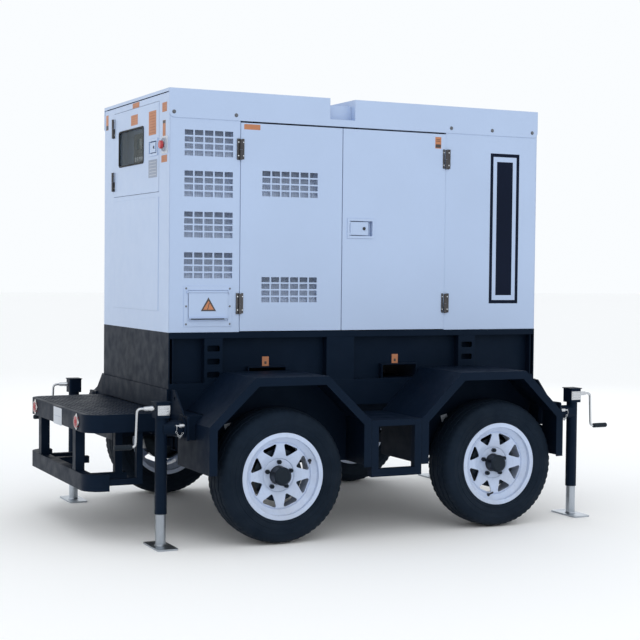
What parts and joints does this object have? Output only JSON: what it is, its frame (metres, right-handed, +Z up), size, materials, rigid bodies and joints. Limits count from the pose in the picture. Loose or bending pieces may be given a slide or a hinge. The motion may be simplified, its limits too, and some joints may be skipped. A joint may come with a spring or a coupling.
{
  "type": "towable diesel generator",
  "caption": "Canopied diesel generator on a fork-liftable base, carried by a two-axle trailer with swivel jacks, fenders, a rear deck and a folding drawbar.",
  "frame": {"origin": "on the ground under the centre of the whole machine", "axes": "+X towards the drawbar, +Y to the left, +Z up"},
  "size_m": [2.858, 1.88, 2.16],
  "materials": {
    "canopy_white": "semi-gloss powder coat",
    "frame_black": "satin black powder coat",
    "wheel_white": "gloss white enamel",
    "tyre": "matte rubber",
    "hub_black": "satin black",
    "galvanised": "galvanised",
    "hinge_steel": "plated, dull",
    "lamp_red": "moulded lens",
    "button_red": "moulded",
    "label_white": "moulded",
    "panel_grey": "textured",
    "window_clear": "clear polycarbonate",
    "engine_grey": "painted casting",
    "machined_steel": "machined",
    "radiator_black": "matte black",
    "exhaust_steel": "heat-tinted",
    "battery_black": "moulded",
    "seal_rubber": "matte",
    "label_orange": "printed film, satin",
    "decal_navy": "printed film, satin"
  },
  "bodies": {
    "trailer": {"chassis_frame": "frame_black", "axles": "frame_black", "leaf_springs": "frame_black", "fenders": "frame_black", "side_steps": "frame_black", "rear_deck": "frame_black", "tail_lamps": "lamp_red", "base_frame": "frame_black", "fuel_tank": "frame_black", "side_panels": "canopy_white", "end_panels": "canopy_white", "roof": "canopy_white", "lifting_eye": "canopy_white", "door_hinges": "hinge_steel", "control_panel": "canopy_white", "controller": "panel_grey", "e_stop_collar": "label_white", "outlet_frame": "canopy_white", "engine": "engine_grey", "alternator": "engine_grey", "radiator": "radiator_black", "muffler": "exhaust_steel", "battery": "battery_black"},
    "wheel_rear_right": {"tyre_rear_right": "tyre", "rim_rear_right": "wheel_white", "hub_rear_right": "hub_black"},
    "jack_rear_right": {"jack_body_rear_right": "frame_black"},
    "leg_rear_right": {"jack_leg_rear_right": "galvanised"},
    "crank_rear_right": {"jack_crank_rear_right": "galvanised"},
    "wheel_rear_left": {"tyre_rear_left": "tyre", "rim_rear_left": "wheel_white", "hub_rear_left": "hub_black"},
    "jack_rear_left": {"jack_body_rear_left": "frame_black"},
    "leg_rear_left": {"jack_leg_rear_left": "galvanised"},
    "crank_rear_left": {"jack_crank_rear_left": "galvanised"},
    "wheel_front_right": {"tyre_front_right": "tyre", "rim_front_right": "wheel_white", "hub_front_right": "hub_black"},
    "jack_front_right": {"jack_body_front_right": "frame_black"},
    "leg_front_right": {"jack_leg_front_right": "galvanised"},
    "crank_front_right": {"jack_crank_front_right": "galvanised"},
    "wheel_front_left": {"tyre_front_left": "tyre", "rim_front_left": "wheel_white", "hub_front_left": "hub_black"},
    "jack_front_left": {"jack_body_front_left": "frame_black"},
    "leg_front_left": {"jack_leg_front_left": "galvanised"},
    "crank_front_left": {"jack_crank_front_left": "galvanised"},
    "rear_door_right": {"rear_door_right": "canopy_white"},
    "front_door_right": {"front_door_right": "canopy_white"},
    "paddle_right": {"door_paddle_right": "canopy_white"},
    "rear_door_left": {"rear_door_left": "canopy_white"},
    "front_door_left": {"front_door_left": "canopy_white"},
    "paddle_left": {"door_paddle_left": "canopy_white"},
    "control_door": {"control_door": "canopy_white", "control_window": "window_clear"},
    "control_paddle": {"control_paddle": "canopy_white"},
    "e_stop_button": {"e_stop_button": "button_red"},
    "outlet_flap": {"outlet_flap": "canopy_white"},
    "crank_train": {"crank_train": "machined_steel"},
    "drawbar": {"drawbar": "frame_black"}
  },
  "joints": [
    {"name": "wheel_spin_rear_right", "type": "hinge", "parent": "trailer", "child": "wheel_rear_right", "pos_m": [-0.567, -0.808, 0.322], "axis": [0, 1, 0], "continuous": true},
    {"name": "jack_swivel_rear_right", "type": "hinge", "parent": "trailer", "child": "jack_rear_right", "pos_m": [-1.115, -0.727, 0.5525], "axis": [-1, 0, 0], "range_deg": [0, 90]},
    {"name": "jack_leg_slide_rear_right", "type": "slide", "parent": "jack_rear_right", "child": "leg_rear_right", "axis": [0, 0, -1], "range_m": [-0.112, 0.165]},
    {"name": "jack_crank_turn_rear_right", "type": "hinge", "parent": "jack_rear_right", "child": "crank_rear_right", "pos_m": [-1.115, -0.727, 0.648], "axis": [1, 0, 0], "range_deg": [-5400, 7920]},
    {"name": "wheel_spin_rear_left", "type": "hinge", "parent": "trailer", "child": "wheel_rear_left", "pos_m": [-0.567, 0.808, 0.322], "axis": [0, 1, 0], "continuous": true},
    {"name": "jack_swivel_rear_left", "type": "hinge", "parent": "trailer", "child": "jack_rear_left", "pos_m": [-1.115, 0.727, 0.5525], "axis": [1, 0, 0], "range_deg": [0, 90]},
    {"name": "jack_leg_slide_rear_left", "type": "slide", "parent": "jack_rear_left", "child": "leg_rear_left", "axis": [0, 0, -1], "range_m": [-0.112, 0.165]},
    {"name": "jack_crank_turn_rear_left", "type": "hinge", "parent": "jack_rear_left", "child": "crank_rear_left", "pos_m": [-1.115, 0.727, 0.648], "axis": [1, 0, 0], "range_deg": [-5400, 7920]},
    {"name": "wheel_spin_front_right", "type": "hinge", "parent": "trailer", "child": "wheel_front_right", "pos_m": [0.633, -0.808, 0.322], "axis": [0, 1, 0], "continuous": true},
    {"name": "jack_swivel_front_right", "type": "hinge", "parent": "trailer", "child": "jack_front_right", "pos_m": [1.201, -0.727, 0.5525], "axis": [-1, 0, 0], "range_deg": [0, 90]},
    {"name": "jack_leg_slide_front_right", "type": "slide", "parent": "jack_front_right", "child": "leg_front_right", "axis": [0, 0, -1], "range_m": [-0.112, 0.165]},
    {"name": "jack_crank_turn_front_right", "type": "hinge", "parent": "jack_front_right", "child": "crank_front_right", "pos_m": [1.201, -0.727, 0.648], "axis": [1, 0, 0], "range_deg": [-7920, 5400]},
    {"name": "wheel_spin_front_left", "type": "hinge", "parent": "trailer", "child": "wheel_front_left", "pos_m": [0.633, 0.808, 0.322], "axis": [0, 1, 0], "continuous": true},
    {"name": "jack_swivel_front_left", "type": "hinge", "parent": "trailer", "child": "jack_front_left", "pos_m": [1.201, 0.727, 0.5525], "axis": [1, 0, 0], "range_deg": [0, 90]},
    {"name": "jack_leg_slide_front_left", "type": "slide", "parent": "jack_front_left", "child": "leg_front_left", "axis": [0, 0, -1], "range_m": [-0.112, 0.165]},
    {"name": "jack_crank_turn_front_left", "type": "hinge", "parent": "jack_front_left", "child": "crank_front_left", "pos_m": [1.201, 0.727, 0.648], "axis": [1, 0, 0], "range_deg": [-7920, 5400]},
    {"name": "rear_door_swing_right", "type": "hinge", "parent": "trailer", "child": "rear_door_right", "pos_m": [-0.641, -0.527, 1.502], "axis": [0, 0, -1], "range_deg": [0, 120]},
    {"name": "front_door_swing_right", "type": "hinge", "parent": "trailer", "child": "front_door_right", "pos_m": [0.523, -0.527, 1.502], "axis": [0, 0, 1], "range_deg": [0, 120]},
    {"name": "door_latch_right", "type": "hinge", "parent": "front_door_right", "child": "paddle_right", "pos_m": [-0.032, -0.516, 1.509], "axis": [0, 0, -1], "range_deg": [0, 40], "stiffness_Nm_per_rad": 0.6, "springref_deg": -17.19},
    {"name": "rear_door_swing_left", "type": "hinge", "parent": "trailer", "child": "rear_door_left", "pos_m": [-0.641, 0.527, 1.502], "axis": [0, 0, 1], "range_deg": [0, 120]},
    {"name": "front_door_swing_left", "type": "hinge", "parent": "trailer", "child": "front_door_left", "pos_m": [0.523, 0.527, 1.502], "axis": [0, 0, -1], "range_deg": [0, 120]},
    {"name": "door_latch_left", "type": "hinge", "parent": "front_door_left", "child": "paddle_left", "pos_m": [-0.032, 0.516, 1.509], "axis": [0, 0, 1], "range_deg": [0, 40], "stiffness_Nm_per_rad": 0.6, "springref_deg": -17.19},
    {"name": "control_door_swing", "type": "hinge", "parent": "trailer", "child": "control_door", "pos_m": [-1.014, 0.352, 1.89], "axis": [0, 0, -1], "range_deg": [0, 110]},
    {"name": "control_latch", "type": "hinge", "parent": "control_door", "child": "control_paddle", "pos_m": [-1.004, -0.237, 1.891], "axis": [0, 0, -1], "range_deg": [0, 35], "stiffness_Nm_per_rad": 0.5, "springref_deg": -17.19},
    {"name": "e_stop_press", "type": "slide", "parent": "trailer", "child": "e_stop_button", "axis": [1, 0, 0], "range_m": [0, 0.005], "stiffness_N_per_m": 900, "springref_m": -0.004},
    {"name": "outlet_flap_lift", "type": "hinge", "parent": "trailer", "child": "outlet_flap", "pos_m": [-0.8055, -0.524, 1.184], "axis": [-1, 0, 0], "range_deg": [0, 70]},
    {"name": "engine_spin", "type": "hinge", "parent": "trailer", "child": "crank_train", "pos_m": [-0.217, 0, 1.288], "axis": [1, 0, 0], "continuous": true},
    {"name": "drawbar_fold", "type": "hinge", "parent": "trailer", "child": "drawbar", "pos_m": [1.145, 0, 0.5525], "axis": [0, 1, 0], "range_deg": [0, 100]}
  ],
  "couplings": [
    {"joint": "jack_crank_turn_rear_right", "follows": "jack_leg_slide_rear_right", "rad_per_m": 837.76},
    {"joint": "jack_crank_turn_rear_left", "follows": "jack_leg_slide_rear_left", "rad_per_m": 837.76},
    {"joint": "jack_crank_turn_front_right", "follows": "jack_leg_slide_front_right", "rad_per_m": -837.76},
    {"joint": "jack_crank_turn_front_left", "follows": "jack_leg_slide_front_left", "rad_per_m": -837.76}
  ]
}
